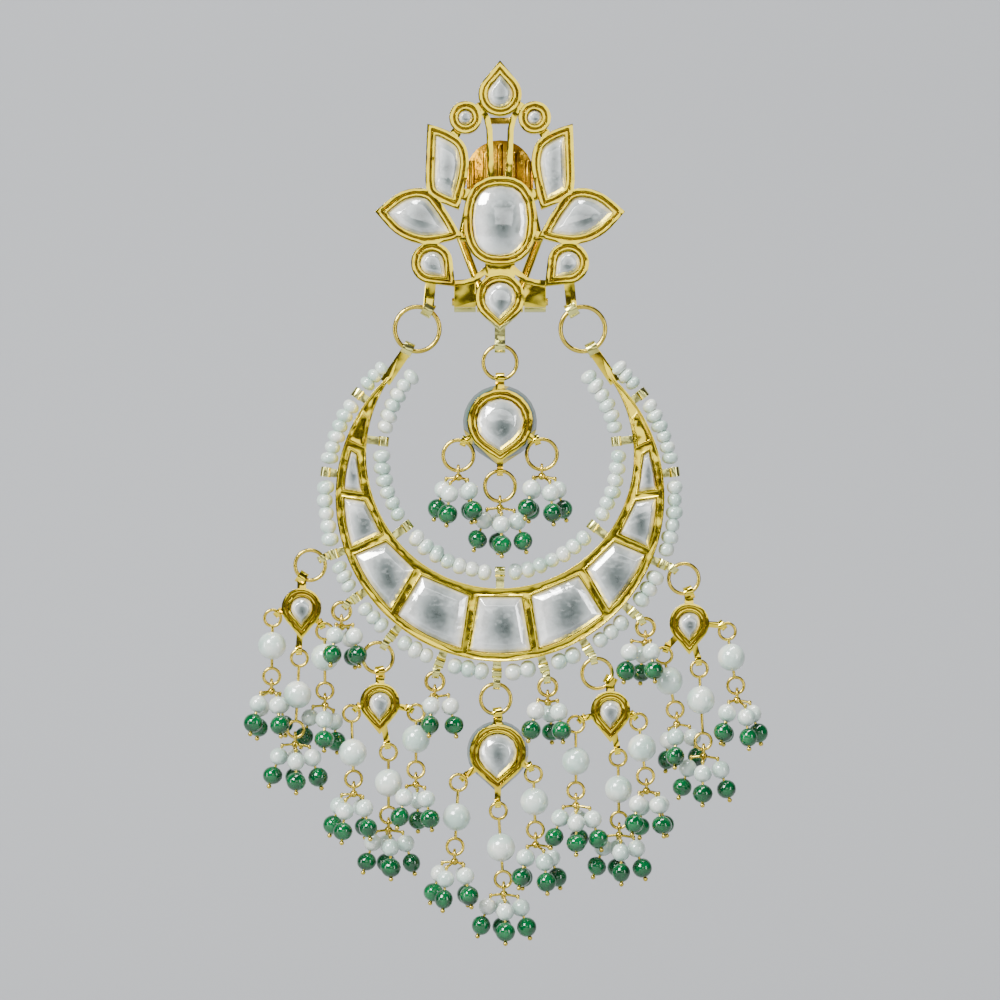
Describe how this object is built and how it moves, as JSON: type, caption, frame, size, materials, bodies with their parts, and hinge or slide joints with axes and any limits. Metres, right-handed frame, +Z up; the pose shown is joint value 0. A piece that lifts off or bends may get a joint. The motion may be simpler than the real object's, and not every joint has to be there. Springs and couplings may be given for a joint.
{
  "type": "chandbali earring",
  "caption": "Gold chandbali drop earring: clip-on flower, hanging crescent set with flat-cut stones, inner pendant and a fringe of drops, pearls and green beads.",
  "frame": {"origin": "where the earring is held: the middle of the gap that takes the ear lobe, on the flower's middle plane", "axes": "+Z up, +X to the right as the earring is seen, the set stones face -Y and the clip is on the +Y side"},
  "size_m": [0.0594, 0.0115, 0.0999],
  "materials": {
    "yellow_gold": "polished, high-karat yellow gold",
    "pale_gold": "soft greenish gold wire",
    "polki_stone": "flat-cut uncut diamond over silver foil",
    "pearl": "satin nacre",
    "emerald_glass": "glossy, deep green"
  },
  "bodies": {
    "ear_top": {"flower_frame": "yellow_gold", "flower_stone_oval": "polki_stone", "flower_stone_finial": "polki_stone", "flower_stone_base": "polki_stone", "flower_stone_dot_left": "polki_stone", "flower_stone_dot_right": "polki_stone", "flower_stone_petal_left": "polki_stone", "flower_stone_petal_right": "polki_stone", "flower_stone_leaf_left": "polki_stone", "flower_stone_leaf_right": "polki_stone", "flower_stone_bud_left": "polki_stone", "flower_stone_bud_right": "polki_stone", "clip_pin": "yellow_gold"},
    "clip": {"clip_lever": "yellow_gold"},
    "crescent": {"hanging_ring_left": "pale_gold", "hanging_ring_right": "pale_gold", "crescent_frame": "yellow_gold", "crescent_stone_1": "polki_stone", "crescent_stone_2": "polki_stone", "crescent_stone_3": "polki_stone", "crescent_stone_4": "polki_stone", "crescent_stone_5": "polki_stone", "crescent_stone_6": "polki_stone", "crescent_stone_7": "polki_stone", "crescent_stone_8": "polki_stone", "crescent_stone_9": "polki_stone", "inner_strand": "pearl", "outer_strand": "pearl", "fringe_rings": "pale_gold", "drop_frame_1": "yellow_gold", "drop_frame_2": "yellow_gold", "drop_frame_3": "yellow_gold", "drop_frame_4": "yellow_gold", "drop_stone_1": "polki_stone", "drop_stone_2": "polki_stone", "drop_stone_3": "polki_stone", "drop_stone_4": "polki_stone", "fringe_eye_pins": "pale_gold", "fringe_large_pearls": "pearl", "fringe_pins_left": "pale_gold", "fringe_pearls_left": "pearl", "fringe_emeralds_left": "emerald_glass", "fringe_pins_right": "pale_gold", "fringe_pearls_right": "pearl", "fringe_emeralds_right": "emerald_glass"},
    "pendant": {"pendant_ring": "pale_gold", "pendant_frame": "yellow_gold", "pendant_stone": "polki_stone", "pendant_small_rings": "pale_gold", "pendant_pins": "pale_gold", "pendant_pearls": "pearl", "pendant_emeralds": "emerald_glass"},
    "centre_drop": {"centre_ring": "pale_gold", "centre_frame": "yellow_gold", "centre_stone": "polki_stone", "centre_eye_pins": "pale_gold", "centre_large_pearls": "pearl", "centre_pins": "pale_gold", "centre_pearls": "pearl", "centre_emeralds": "emerald_glass"}
  },
  "joints": [
    {"name": "clip_hinge", "type": "hinge", "parent": "ear_top", "child": "clip", "pos_m": [0, 0.0029, -0.0132], "axis": [-1, 0, 0], "range_deg": [0, 60]},
    {"name": "crescent_swing", "type": "hinge", "parent": "ear_top", "child": "crescent", "pos_m": [0, 0, -0.0142], "axis": [1, 0, 0], "range_deg": [-20, 20]},
    {"name": "pendant_swing", "type": "hinge", "parent": "ear_top", "child": "pendant", "pos_m": [0, 0, -0.01825], "axis": [1, 0, 0], "range_deg": [-20, 20]},
    {"name": "centre_drop_swing", "type": "hinge", "parent": "crescent", "child": "centre_drop", "pos_m": [-0.00037, 0, -0.05648], "axis": [1, 0, 0], "range_deg": [-15, 15]}
  ]
}
